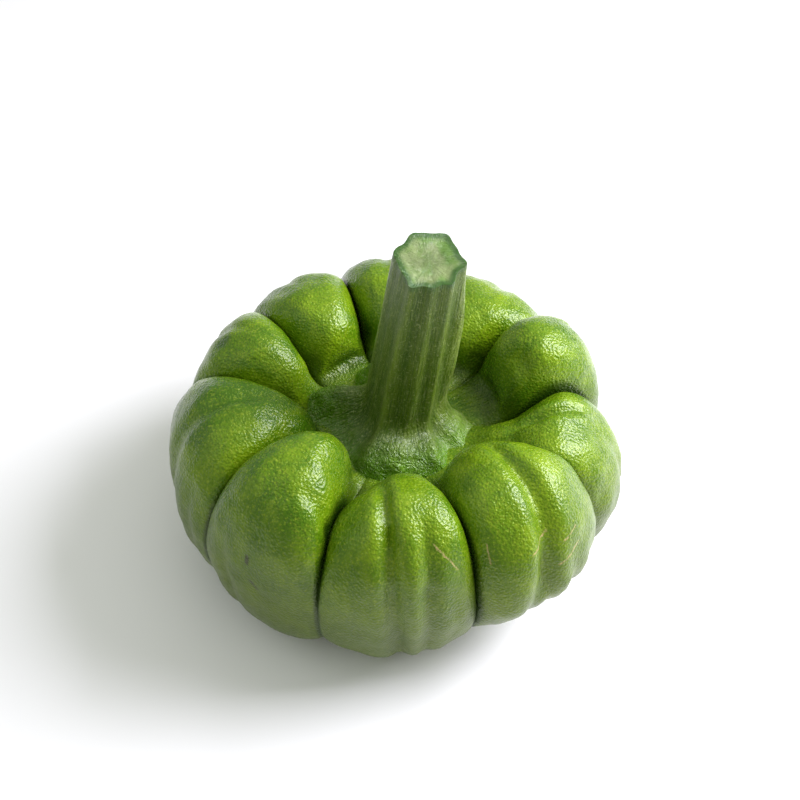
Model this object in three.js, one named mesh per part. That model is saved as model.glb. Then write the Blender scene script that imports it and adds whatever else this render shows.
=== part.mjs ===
// A flat, deeply lobed green squash standing on its ten lobes, with the cut stem that it was picked by.
// The fruit is one solid. The stem is a second one, which stands on the floor of the crown, the hollow
// that the lobes leave round it. Units are millimetres, +Z is up, and the front of the fruit faces -Y.
// The origin is on the surface that the fruit stands on, under the middle of its bounding box.
import * as THREE from "three";

// ---- Driving dimensions -------------------------------------------------------------------------

const RADIUS = 83; // a plain lobe's widest reach from the axis
const HEIGHT = 79; // a plain lobe's top above the ground
const CROWN_FLOOR = 0.645 * HEIGHT;
const CROWN_OFFSET = new THREE.Vector2(4.5, 0); // the lobes meet a little right of the fruit's middle

const STEM_LENGTH = 78; // along the axis, from the crown's floor to the middle of the cut
const STEM_LEAN = new THREE.Vector2(10.5, 4); // how far the cut's middle stands from the foot's
const STEM_TOP_RADIUS = 10.4;
const STEM_BASE_RADIUS = 12.6;
const STEM_CUT_SLOPE = Math.tan(THREE.MathUtils.degToRad(13)); // the cut falls towards the front
const FOOT_HEIGHT = 17; // where a toe leaves the shaft
const FOOT_EDGE = 1.2; // thickness of the foot's rim
const FOOT_GAP = 0.4; // clearance between the stem and the crown's floor

const COLUMNS_PER_LOBE = 10;
const FRUIT_ROWS = 34;
const STEM_COLUMNS = 48;
const FLARE_ROWS = 7;
const SHAFT_ROWS = 6;

// ---- Outlines of the fruit ----------------------------------------------------------------------

// The two outlines run from the middle of the crown, over the top and down to the blossom scar, as shares
// of RADIUS and HEIGHT. Points with the same place in both lists lie on the same row round the fruit.
const CREST = [
  [0, 0.645], // middle of the crown's floor
  [0.31, 0.645],
  [0.37, 0.68], // foot of the lobe's nose
  [0.4, 0.765],
  [0.44, 0.86],
  [0.52, 0.95],
  [0.625, 0.995], // top
  [0.74, 0.99],
  [0.855, 0.93], // shoulder
  [0.955, 0.795],
  [1.0, 0.605], // equator
  [0.995, 0.42],
  [0.935, 0.22],
  [0.83, 0.07],
  [0.69, -0.04], // lowest, pressed flat by the ground
  [0.48, 0.02],
  [0.24, 0.08],
  [0, 0.115], // blossom scar
];
const GROOVE = [
  [0, 0.645],
  [0.31, 0.64],
  [0.445, 0.64],
  [0.505, 0.665],
  [0.56, 0.71],
  [0.615, 0.77],
  [0.675, 0.81],
  [0.755, 0.81],
  [0.825, 0.765],
  [0.88, 0.68],
  [0.925, 0.555],
  [0.935, 0.41],
  [0.89, 0.25],
  [0.79, 0.145],
  [0.66, 0.08],
  [0.46, 0.065],
  [0.24, 0.095],
  [0, 0.115],
];
const LAST_POINT = CREST.length - 1;

// The lobes in turn, counter-clockwise from above.
//   start  azimuth of the groove before the lobe, at the equator, in degrees
//   twist  how far that groove has turned by the time it reaches the crown, in degrees
//   girth  the lobe's reach as a share of a plain lobe's
//   rise   its top above a plain lobe's, in millimetres
//   nose   how far its inner end stands back from a plain lobe's, in millimetres
//   belly  its reach below the equator as a share of a plain lobe's
const LOBES = [
  { start: 253, twist: -7, girth: 0.97, rise: -1, nose: 4.5, belly: 1.04 },
  { start: 294, twist: -5, girth: 1.06, rise: -2, nose: -2, belly: 0.81 },
  { start: 336, twist: -4, girth: 1.06, rise: -11, nose: 0, belly: 1.03 },
  { start: 366, twist: -6, girth: 1, rise: 3, nose: 6, belly: 1 },
  { start: 392, twist: 8, girth: 1, rise: -5, nose: 3, belly: 1 },
  { start: 434, twist: 5, girth: 0.99, rise: -3, nose: 4.5, belly: 1 },
  { start: 466, twist: 3, girth: 0.94, rise: -1.5, nose: 2.5, belly: 1 },
  { start: 498, twist: 8, girth: 0.92, rise: -1, nose: 0, belly: 1 },
  { start: 530, twist: 6, girth: 0.96, rise: -1, nose: -2, belly: 1.03 },
  { start: 576, twist: -6, girth: 0.96, rise: 5, nose: -3.5, belly: 1.05 },
];

// Shallow furrows that split the larger lobes lengthwise. across is where a furrow begins on its lobe, from
// -1 at the lobe's first groove to 1 at its second, and sweep is how far it has crossed by its end. from and
// to are places along the outlines.
const FURROWS = [
  { lobe: 0, across: -0.2, sweep: 0.3, depth: 3.2, width: 0.16, from: 5, to: 15 },
  { lobe: 0, across: 0.37, sweep: 0, depth: 2, width: 0.14, from: 7, to: 15 },
  { lobe: 1, across: 0.4, sweep: -1, depth: 3.6, width: 0.16, from: 5, to: 12 },
  { lobe: 1, across: -0.2, sweep: 0.2, depth: 2.4, width: 0.14, from: 8, to: 15 },
  { lobe: 2, across: -0.15, sweep: 0.7, depth: 2.4, width: 0.16, from: 4, to: 9 },
  { lobe: 8, across: 0, sweep: 0, depth: 2.4, width: 0.2, from: 5, to: 15 },
  { lobe: 9, across: -0.42, sweep: 0, depth: 1.8, width: 0.16, from: 9, to: 15 },
];

// ---- Ridges of the stem -------------------------------------------------------------------------

// Each ridge runs down the shaft and out over the crown as a toe. top and base are its azimuths at the cut
// and at the crown, in degrees. height is how far it stands out of the shaft at the cut, swell is how much
// further halfway down, and reach is its toe's.
const RIDGES = [
  { top: 60, base: 52, height: 1.4, swell: 0.5, reach: 25 },
  { top: 119, base: 112, height: 1.5, swell: 0.5, reach: 27 },
  { top: 165, base: 166, height: 2.2, swell: 0, reach: 28 },
  { top: 246, base: 240, height: 1.6, swell: 0, reach: 25 },
  { top: 316, base: 322, height: 2.2, swell: 0, reach: 25 },
  { top: 352, base: 368, height: 1.8, swell: 2.2, reach: 26 },
];
const RIDGE_HALF_WIDTH = 15; // degrees, on the shaft
const TOE_HALF_WIDTH = 22; // degrees, at the foot
const VALLEY_REACH = 18.5; // the foot's radius between toes

// ---- Geometry -----------------------------------------------------------------------------------

/** 0 before from, 1 past to, and a smooth climb in between. */
function ramp(x, from, to) {
  return THREE.MathUtils.smoothstep(x, from, to);
}

/** A window that opens over the first pair of places and shuts over the second. */
function window(x, openFrom, openTo, shutFrom, shutTo) {
  return ramp(x, openFrom, openTo) * (1 - ramp(x, shutFrom, shutTo));
}

/** A bell of height 1 about 0. */
function bell(x, halfWidth) {
  return Math.exp(-((x / halfWidth) ** 2));
}

/** The signed angle from b to a, in degrees, within half a turn. */
function turn(a, b) {
  return ((((a - b) % 360) + 540) % 360) - 180;
}

/**
 * A closed surface made of rings of points. The first and last rows are single points, and pointAt takes
 * a row and a column and gives a Vector3. Columns run counter-clockwise and rows upwards.
 */
function ringSolid(rows, columns, pointAt) {
  const positions = [];
  const triangles = [];
  const index = (row, column) => 1 + (row - 1) * columns + (column % columns);
  positions.push(...pointAt(0, 0));
  for (let row = 1; row < rows; row++) {
    for (let column = 0; column < columns; column++) {
      positions.push(...pointAt(row, column));
    }
  }
  positions.push(...pointAt(rows, 0));
  const last = positions.length / 3 - 1;
  for (let column = 0; column < columns; column++) {
    triangles.push(0, index(1, column + 1), index(1, column));
    for (let row = 1; row < rows - 1; row++) {
      const a = index(row, column);
      const b = index(row, column + 1);
      const c = index(row + 1, column + 1);
      const d = index(row + 1, column);
      triangles.push(a, b, c, a, c, d);
    }
    triangles.push(last, index(rows - 1, column), index(rows - 1, column + 1));
  }
  const geometry = new THREE.BufferGeometry();
  geometry.setAttribute("position", new THREE.Float32BufferAttribute(positions, 3));
  geometry.setIndex(triangles);
  geometry.computeVertexNormals();
  return geometry;
}

/** An outline of the fruit as a curve through its points, in millimetres. */
function outline(points) {
  return new THREE.SplineCurve(points.map(([r, z]) => new THREE.Vector2(r * RADIUS, z * HEIGHT)));
}

/** Azimuth of the groove before a lobe, in degrees, at a place along the outlines. */
function grooveAzimuth(number, place) {
  const lobe = LOBES[number % LOBES.length];
  const laps = Math.floor(number / LOBES.length);
  return 360 * laps + lobe.start + lobe.twist * (1 - ramp(place, 3, 9));
}

/** A lobe's crest, as radius and height, at a place along the outlines. */
function crestOf(lobe, crest, place) {
  const point = crest.getPoint(place / LAST_POINT);
  const outer = ramp(place, 5, 9.5) * (1 - 0.5 * ramp(place, 12.5, 16));
  point.x *= 1 + (lobe.girth - 1) * outer;
  point.x *= 1 + (lobe.belly - 1) * window(place, 10.5, 13, 13.5, 16.5);
  point.x += lobe.nose * window(place, 1.2, 3, 5, 7.5);
  point.y += lobe.rise * window(place, 2.5, 6, 9, 13);
  return point;
}

/** How deep one furrow cuts, in millimetres, at a place and across its lobe. */
function furrowDepth(furrow, place, across) {
  const middle = furrow.across + furrow.sweep * THREE.MathUtils.inverseLerp(furrow.from, furrow.to, place);
  const opening = window(place, furrow.from, furrow.from + 2, furrow.to - 2, furrow.to);
  return furrow.depth * bell(across - middle, furrow.width) * opening;
}

/** The lobed fruit, from its blossom scar up to the middle of its crown. */
function fruitGeometry() {
  const crest = outline(CREST);
  const groove = outline(GROOVE);
  const columns = LOBES.length * COLUMNS_PER_LOBE;
  return ringSolid(FRUIT_ROWS, columns, (row, column) => {
    const place = LAST_POINT * (1 - row / FRUIT_ROWS);
    const number = Math.floor(column / COLUMNS_PER_LOBE);
    const across = Math.sin(((column % COLUMNS_PER_LOBE) / COLUMNS_PER_LOBE - 0.5) * Math.PI);
    const roundness = 2.2 + 0.7 * ramp(place, 4, 9);
    const bulge = (1 - Math.abs(across) ** roundness) ** 0.6;
    const point = groove.getPoint(place / LAST_POINT).lerp(crestOf(LOBES[number], crest, place), bulge);
    for (const furrow of FURROWS.filter((cut) => cut.lobe === number)) {
      point.x -= furrowDepth(furrow, place, across);
    }
    const before = grooveAzimuth(number, place);
    const after = grooveAzimuth(number + 1, place);
    const azimuth = THREE.MathUtils.degToRad(THREE.MathUtils.mapLinear(across, -1, 1, before, after));
    const drift = 1 - ramp(place, 4, 10);
    return new THREE.Vector3(
      point.x * Math.cos(azimuth) + CROWN_OFFSET.x * drift,
      point.x * Math.sin(azimuth) + CROWN_OFFSET.y * drift,
      Math.max(point.y, 0),
    );
  });
}

/** The largest of the ridges' bells at an azimuth, weighted by a size of each ridge. */
function ridged(azimuth, climb, halfWidth, size) {
  return Math.max(
    ...RIDGES.map((ridge) => {
      const middle = ridge.base + turn(ridge.top, ridge.base) * climb;
      return size(ridge) * bell(turn(azimuth, middle), halfWidth);
    }),
  );
}

/** Radius of the stem's shaft at an azimuth and a share of its length. */
function shaftRadius(azimuth, climb) {
  const core = THREE.MathUtils.lerp(STEM_BASE_RADIUS, STEM_TOP_RADIUS, climb);
  const swelling = window(climb, 0, 0.4, 0.6, 1);
  return core + ridged(azimuth, climb, RIDGE_HALF_WIDTH, (ridge) => ridge.height + ridge.swell * swelling);
}

/** The stem, from the middle of its underside up to the middle of its cut. */
function stemGeometry() {
  const ringRows = 2 + FLARE_ROWS + SHAFT_ROWS; // under the rim, the rim, the flare and the shaft
  const rows = ringRows + 1;
  return ringSolid(rows, STEM_COLUMNS, (row, column) => {
    const degrees = (360 * column) / STEM_COLUMNS;
    const reach = VALLEY_REACH + ridged(degrees, 0, TOE_HALF_WIDTH, (ridge) => ridge.reach - VALLEY_REACH);
    let radius = 0;
    let height = 0;
    if (row === 1) {
      radius = reach - FOOT_EDGE;
    } else if (row >= 2 && row <= 2 + FLARE_ROWS) {
      const share = (row - 2) / FLARE_ROWS;
      height = FOOT_EDGE + (FOOT_HEIGHT - FOOT_EDGE) * share ** 1.6;
      const shaft = shaftRadius(degrees, height / STEM_LENGTH);
      radius = shaft + (reach - shaft) * (1 - share) ** 1.7;
    } else if (row > 2 + FLARE_ROWS) {
      const share = Math.min((row - 2 - FLARE_ROWS) / SHAFT_ROWS, 1);
      height = THREE.MathUtils.lerp(FOOT_HEIGHT, STEM_LENGTH, share);
      radius = row === rows ? 0 : shaftRadius(degrees, height / STEM_LENGTH);
    }
    const azimuth = THREE.MathUtils.degToRad(degrees);
    const x = radius * Math.cos(azimuth);
    const y = radius * Math.sin(azimuth);
    const climb = height / STEM_LENGTH;
    return new THREE.Vector3(
      x + STEM_LEAN.x * climb,
      y + STEM_LEAN.y * climb,
      height + y * STEM_CUT_SLOPE * ramp(climb, 0.6, 1),
    );
  });
}

// ---- The object ---------------------------------------------------------------------------------

const skin = new THREE.MeshStandardMaterial({ color: 0x5f8a26, roughness: 0.38, metalness: 0 });
const stalk = new THREE.MeshStandardMaterial({ color: 0x4a6b28, roughness: 0.5, metalness: 0 });

const fruit = new THREE.Mesh(fruitGeometry(), skin);
fruit.name = "fruit";

const stem = new THREE.Mesh(stemGeometry(), stalk);
stem.name = "stem";
stem.position.set(CROWN_OFFSET.x, CROWN_OFFSET.y, CROWN_FLOOR + FOOT_GAP);

const squash = new THREE.Group();
squash.add(fruit, stem);
const middle = new THREE.Box3().setFromObject(squash).getCenter(new THREE.Vector3());
squash.position.set(-middle.x, -middle.y, 0);

export default squash;
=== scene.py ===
"""Looks of the kabocha squash: its lobed rind, its ridged stem, and the studio they stand in.

Every length in a dataclass field is in millimetres, and every position comes from the CAD model's boxes.
"""

import logging
import math
from dataclasses import dataclass, field
from enum import Enum

import bpy
import numpy as np
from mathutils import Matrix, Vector, noise


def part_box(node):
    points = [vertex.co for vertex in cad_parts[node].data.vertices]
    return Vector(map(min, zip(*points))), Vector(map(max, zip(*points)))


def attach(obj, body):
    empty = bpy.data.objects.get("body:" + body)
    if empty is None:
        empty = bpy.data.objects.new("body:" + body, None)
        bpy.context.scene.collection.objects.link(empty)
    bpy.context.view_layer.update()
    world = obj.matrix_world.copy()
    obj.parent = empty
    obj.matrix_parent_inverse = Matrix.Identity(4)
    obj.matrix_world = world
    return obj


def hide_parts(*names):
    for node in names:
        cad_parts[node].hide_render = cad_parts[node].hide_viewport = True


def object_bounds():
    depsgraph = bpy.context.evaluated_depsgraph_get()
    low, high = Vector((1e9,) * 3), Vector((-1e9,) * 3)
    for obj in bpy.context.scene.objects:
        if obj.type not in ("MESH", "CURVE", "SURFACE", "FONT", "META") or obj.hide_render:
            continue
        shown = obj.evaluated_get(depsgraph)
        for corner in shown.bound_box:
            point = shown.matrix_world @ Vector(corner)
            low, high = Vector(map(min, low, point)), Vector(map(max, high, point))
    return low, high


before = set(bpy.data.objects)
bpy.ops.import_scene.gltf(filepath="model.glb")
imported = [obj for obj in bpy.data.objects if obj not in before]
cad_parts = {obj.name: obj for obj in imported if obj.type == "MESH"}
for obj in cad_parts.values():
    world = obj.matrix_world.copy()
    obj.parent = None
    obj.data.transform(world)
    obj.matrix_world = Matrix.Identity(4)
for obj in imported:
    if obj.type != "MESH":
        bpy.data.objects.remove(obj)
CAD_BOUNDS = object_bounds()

log = logging.getLogger("squash")

MM = 0.001
Array = np.ndarray
Colour = tuple[float, float, float]
Socket = bpy.types.NodeSocket


# ---- Small mathematics ------------------------------------------------------------------------------


def ramp(x: Array | float, start: float, end: float) -> Array:
    """0 before start, 1 past end, and a smooth climb in between."""
    share = np.clip((np.asarray(x, float) - start) / (end - start), 0.0, 1.0)
    return share * share * (3.0 - 2.0 * share)


def window(x: Array | float, opens: float, opened: float, shuts: float, shut: float) -> Array:
    """A window that opens over the first pair of places and shuts over the second."""
    return ramp(x, opens, opened) * (1.0 - ramp(x, shuts, shut))


def bell(x: Array | float, half_width: float) -> Array:
    """A bell of height 1 about 0."""
    return np.exp(-((np.asarray(x, float) / half_width) ** 2))


def turn(a: Array | float, b: Array | float) -> Array:
    """The signed angle from b to a, in degrees, within half a turn."""
    return (np.asarray(a, float) - b + 180.0) % 360.0 - 180.0


def along(points: Array, place: Array) -> Array:
    """Reads a smooth curve through points.

    Args:
        points: The curve's points, one row each.
        place: Where to read it, counted in points from the first.

    Returns:
        One row for each place.
    """
    last = len(points) - 1
    start = np.minimum(np.floor(place).astype(int), last - 1)
    share = (place - start)[:, None]
    before, a = points[np.maximum(start - 1, 0)], points[start]
    b, after = points[start + 1], points[np.minimum(start + 2, last)]
    out, into = (b - before) / 2, (after - a) / 2
    cubic = (2 * a - 2 * b + out + into) * share**3
    square = (3 * b - 3 * a - 2 * out - into) * share**2
    return cubic + square + out * share + a


def lumps(points: Array, size: float, seed: float, octaves: int = 2) -> Array:
    """Smooth random lumps from -1 to 1.

    Args:
        points: Where to read them, in any unit.
        size: Width of a lump in that unit.
        seed: Shift that gives another pattern.
        octaves: Layers of finer lumps.

    Returns:
        One value for each point.
    """
    shift = Vector((seed, 1.7 * seed, -2.3 * seed))
    fading, finer = 0.9, 2.0
    basis = {"noise_basis": "PERLIN_ORIGINAL"}
    places = [Vector(point) / size + shift for point in points]
    return np.array([noise.fractal(place, fading, finer, octaves, **basis) for place in places])


# ---- Meshes -----------------------------------------------------------------------------------------


def put_down_everything() -> None:
    """Leaves edit mode and deselects every object."""
    if bpy.context.object is not None and bpy.context.object.mode != "OBJECT":
        bpy.ops.object.mode_set(mode="OBJECT")
    bpy.ops.object.select_all(action="DESELECT")


def pick_up(piece: bpy.types.Object) -> None:
    """Selects one piece and makes it the active one."""
    put_down_everything()
    piece.select_set(True)
    bpy.context.view_layer.objects.active = piece


def coordinates(piece: bpy.types.Object) -> Array:
    """The piece's vertices, one row each, in millimetres."""
    flat = np.zeros(3 * len(piece.data.vertices), np.float32)
    piece.data.vertices.foreach_get("co", flat)
    return flat.reshape(-1, 3).astype(float) / MM


def move_vertices(piece: bpy.types.Object, points: Array) -> None:
    """Puts the piece's vertices at points, in millimetres."""
    piece.data.vertices.foreach_set("co", (points * MM).astype(np.float32).ravel())
    piece.data.update()


def normals(piece: bpy.types.Object) -> Array:
    """The piece's vertex normals, one row each."""
    flat = np.zeros(3 * len(piece.data.vertices), np.float32)
    piece.data.vertices.foreach_get("normal", flat)
    return flat.reshape(-1, 3).astype(float)


def paint(piece: bpy.types.Object, name: str, values: Array) -> None:
    """Writes one number for each vertex, which materials read by name."""
    layer = piece.data.attributes.get(name) or piece.data.attributes.new(name, "FLOAT", "POINT")
    layer.data.foreach_set("value", np.asarray(values, np.float32))


def painted(piece: bpy.types.Object, name: str) -> Array:
    """Reads back the numbers that paint wrote."""
    values = np.zeros(len(piece.data.vertices), np.float32)
    piece.data.attributes[name].data.foreach_get("value", values)
    return values.astype(float)


def add_blank(name: str, columns: int, rows: int) -> bpy.types.Object:
    """Adds a ball of columns and rows, whose vertices carry their row and their angle.

    Args:
        name: The piece's name.
        columns: Vertices round the ball.
        rows: Bands from its top to its bottom.

    Returns:
        The ball, with "row", "angle_cos" and "angle_sin" painted on it.
    """
    put_down_everything()
    bpy.ops.mesh.primitive_uv_sphere_add(segments=columns, ring_count=rows, radius=1.0)
    piece = bpy.context.object
    piece.name = piece.data.name = name
    x, y, z = (coordinates(piece) * MM).T
    angle = np.round(np.arctan2(y, x) / (2 * math.pi) * columns) * 2 * math.pi / columns
    paint(piece, "row", np.round(np.arccos(np.clip(z, -1, 1)) / math.pi * rows))
    paint(piece, "angle_cos", np.cos(angle))
    paint(piece, "angle_sin", np.sin(angle))
    return piece


def angle_of(piece: bpy.types.Object) -> Array:
    """Each vertex's angle round the blank, in turns from 0 to 1."""
    angle = np.arctan2(painted(piece, "angle_sin"), painted(piece, "angle_cos")) / (2 * math.pi)
    return np.where(angle < -1e-6, angle + 1.0, np.maximum(angle, 0.0))


def crease_edges(piece: bpy.types.Object, chosen: Array, weight: float) -> None:
    """Creases the edges both of whose ends are chosen vertices.

    Args:
        piece: The piece to crease.
        chosen: For each vertex, whether it is chosen.
        weight: The crease, from 0 to 1.
    """
    layer = piece.data.attributes.new("crease_edge", "FLOAT", "EDGE")
    ends = np.zeros(2 * len(piece.data.edges), np.int32)
    piece.data.edges.foreach_get("vertices", ends)
    layer.data.foreach_set("value", np.where(chosen[ends.reshape(-1, 2)].all(axis=1), weight, 0.0))


def smooth_out(piece: bpy.types.Object, levels: int) -> None:
    """Subdivides a piece smoothly and applies it."""
    pick_up(piece)
    modifier = piece.modifiers.new("smooth_out", "SUBSURF")
    modifier.levels = modifier.render_levels = levels
    bpy.ops.object.modifier_apply(modifier=modifier.name)


def shade(piece: bpy.types.Object, sharpest: float) -> None:
    """Shades a piece smoothly, except over edges that turn by more than sharpest, in degrees."""
    pick_up(piece)
    bpy.ops.object.shade_smooth_by_angle(angle=math.radians(sharpest))


# ---- The rind ---------------------------------------------------------------------------------------


@dataclass(frozen=True)
class Lobe:
    """One lobe of the rind, counted counter-clockwise from above.

    start is the azimuth of the groove before it at the equator, and twist how far that groove has turned
    at the crown, in degrees. girth and belly are its reach at and below the equator as shares of a plain
    lobe's. rise is its top above a plain lobe's, and nose how far its inner end stands back. taper lets
    its inner end run down to the crown, and ball rounds that end like a ball's underside, each from 0 to 1.
    tone is how much paler its skin is painted: partly its own colour, and partly painted light and
    shade, paler on most lobes towards the key light on the right and darker on the left. lean is how far
    its crest stands off its middle, as an across.
    """

    start: float
    twist: float
    girth: float
    rise: float
    nose: float
    belly: float
    taper: float = 0.0
    ball: float = 0.0
    tone: float = 0.0
    lean: float = 0.0


@dataclass(frozen=True)
class Furrow:
    """A lengthwise furrow on a lobe, or a fold if its depth is negative.

    across runs from -1 at the lobe's first groove to 1 at its second, and sweep is how far the furrow has
    crossed by its end. start and end are places along the outlines.
    """

    lobe: int
    across: float
    sweep: float
    depth: float
    width: float
    start: float
    end: float


@dataclass(frozen=True)
class Dent:
    """A round hollow pressed into a lobe, or a lump if its depth is negative."""

    lobe: int
    across: float
    place: float
    depth: float
    width: float
    length: float


class Blemish(Enum):
    """A kind of mark on the rind."""

    SCAR = "scar"
    NICK = "nick"
    STAIN = "stain"


@dataclass(frozen=True)
class Mark:
    """A mark on a lobe, from one (place, across) to another. width is how far it shows round that line."""

    kind: Blemish
    lobe: int
    start: tuple[float, float]
    end: tuple[float, float]
    width: float


# The rind's outlines run from the crown's floor over the top and down to the blossom scar. A point is a
# radius and a height, as shares of the rind's, and its number along the outline is called its place.
CREST = (
    (0.0, 0.645), (0.31, 0.645), (0.37, 0.68), (0.4, 0.765), (0.44, 0.86), (0.52, 0.95), (0.625, 0.995),
    (0.74, 0.99), (0.855, 0.93), (0.955, 0.795), (1.0, 0.605), (0.995, 0.42), (0.935, 0.22), (0.83, 0.07),
    (0.69, -0.02), (0.48, 0.02), (0.24, 0.08), (0.0, 0.115),
)  # fmt: skip
GROOVE = (
    (0.0, 0.645), (0.31, 0.645), (0.42, 0.642), (0.505, 0.65), (0.56, 0.685), (0.615, 0.745), (0.675, 0.8),
    (0.755, 0.81), (0.825, 0.765), (0.88, 0.68), (0.925, 0.555), (0.935, 0.41), (0.89, 0.25), (0.79, 0.145),
    (0.66, 0.08), (0.46, 0.065), (0.24, 0.095), (0.0, 0.115),
)  # fmt: skip

# Inner ends that replace the crest's: one slopes down to the crown, and the other is round like a ball.
SLOPE = (
    (0.0, 0.645), (0.27, 0.645), (0.34, 0.67), (0.42, 0.72), (0.49, 0.79), (0.56, 0.89), (0.635, 0.97),
)  # fmt: skip
BALL = (
    (0.0, 0.645), (0.31, 0.655), (0.415, 0.69), (0.378, 0.775), (0.395, 0.885), (0.47, 0.968),
    (0.59, 1.005),
)  # fmt: skip

LOBES = (
    Lobe(253, -7, 0.97, -1, 3.0, 1.03, ball=0.6, tone=0.1, lean=0.35),
    Lobe(294, -5, 1.06, -2, -1, 0.82, ball=0.4, tone=0.3),
    Lobe(336, -4, 1.06, -11, 2, 1.03, taper=0.7, tone=0.15),
    Lobe(366, -6, 1.0, 3, 6, 1.0, ball=1.0, tone=-0.1),
    Lobe(392, 8, 1.0, -5, 3.5, 1.0, ball=0.9, tone=0.3),
    Lobe(434, 5, 0.99, -3, 4.5, 1.0, ball=0.9, tone=0.0),
    Lobe(466, 3, 0.94, -1.5, 2.5, 1.0, ball=1.0, tone=0.1),
    Lobe(498, 8, 0.92, -1, 2, 1.0, taper=0.2, ball=0.4, tone=-0.1),
    Lobe(530, 6, 0.96, -1, -2, 1.04, taper=0.2, ball=0.3, tone=-0.4),
    Lobe(576, -6, 0.96, 5, -2.5, 1.06, ball=0.7, tone=-0.25),
)

FURROWS = (
    Furrow(0, -0.25, 0.34, 4.4, 0.13, 4.4, 14.0),
    Furrow(0, 0.37, 0.0, 2.8, 0.12, 6.6, 14.0),
    Furrow(0, 0.66, 0.05, 0.8, 0.09, 8.5, 13.0),
    Furrow(0, -0.6, 0.1, 0.8, 0.12, 8.5, 13.0),
    Furrow(1, 0.42, -1.05, 4.8, 0.17, 4.2, 12.5),
    Furrow(1, -0.25, 0.1, 2.4, 0.12, 7.8, 13.5),
    Furrow(1, 0.12, 0.1, 2.0, 0.12, 8.4, 13.5),
    Furrow(1, 0.5, 0.1, 1.3, 0.12, 9.0, 13.5),
    Furrow(2, -0.15, 0.75, 3.4, 0.17, 3.4, 9.0),
    Furrow(2, 0.1, -0.25, 1.8, 0.13, 8.0, 14.0),
    Furrow(3, 0.3, 0.0, 1.0, 0.15, 6.5, 13.0),
    Furrow(4, -0.1, 0.2, 1.2, 0.15, 6.0, 13.0),
    Furrow(5, 0.1, -0.2, 1.2, 0.15, 6.0, 13.0),
    Furrow(6, 0.1, 0.1, 1.2, 0.15, 6.5, 13.0),
    Furrow(7, -0.1, 0.3, 1.4, 0.15, 6.0, 13.0),
    Furrow(8, -0.2, 0.5, 2.4, 0.15, 5.2, 13.5),
    Furrow(8, 0.66, 0.0, 1.4, 0.11, 8.0, 13.0),
    Furrow(9, -0.5, 0.1, 1.5, 0.13, 8.5, 13.5),
    Furrow(9, 0.1, 0.1, 0.7, 0.11, 9.5, 13.5),
)

DENTS = (
    Dent(8, -0.2, 6.0, 1.8, 0.22, 0.8),
    Dent(9, 0.8, 7.1, 1.4, 0.35, 0.35),
    Dent(9, 0.3, 7.5, 0.7, 0.3, 0.5),
    Dent(7, 0.45, 7.0, 0.9, 0.30, 0.8),
    Dent(2, 0.0, 7.6, 0.8, 0.35, 0.7),
    Dent(3, -0.5, 5.0, 1.0, 0.3, 0.5),
    Dent(6, 0.5, 7.6, 1.2, 0.3, 0.7),
)

MARKS = (
    Mark(Blemish.SCAR, 0, (8.25, 0.52), (8.75, 0.7), 1.6),
    Mark(Blemish.SCAR, 1, (8.25, -0.86), (8.6, -0.87), 1.5),
    Mark(Blemish.SCAR, 1, (8.85, -0.36), (8.7, -0.16), 1.5),
    Mark(Blemish.SCAR, 1, (9.0, 0.04), (8.95, 0.22), 1.5),
    Mark(Blemish.SCAR, 1, (9.55, -0.05), (9.4, 0.2), 1.5),
    Mark(Blemish.NICK, 9, (9.68, 0.0), (9.84, 0.02), 0.9),
    Mark(Blemish.NICK, 9, (10.38, 0.04), (10.52, 0.12), 0.9),
    Mark(Blemish.NICK, 2, (6.2, 0.1), (6.35, 0.16), 0.7),
    Mark(Blemish.STAIN, 7, (7.6, 0.3), (7.9, 0.42), 2.4),
)


def trait(name: str, number: Array) -> Array:
    """One trait of the lobes with those numbers, which start again after the last lobe."""
    return np.array([getattr(lobe, name) for lobe in LOBES])[number % len(LOBES)]


@dataclass(frozen=True)
class Whereabouts:
    """Where each vertex of the rind lies.

    place is its place along the outlines, number its lobe's, and across how far it is across that lobe,
    from -1 at the first groove to 1 at the second.
    """

    place: Array
    number: Array
    across: Array


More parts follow.
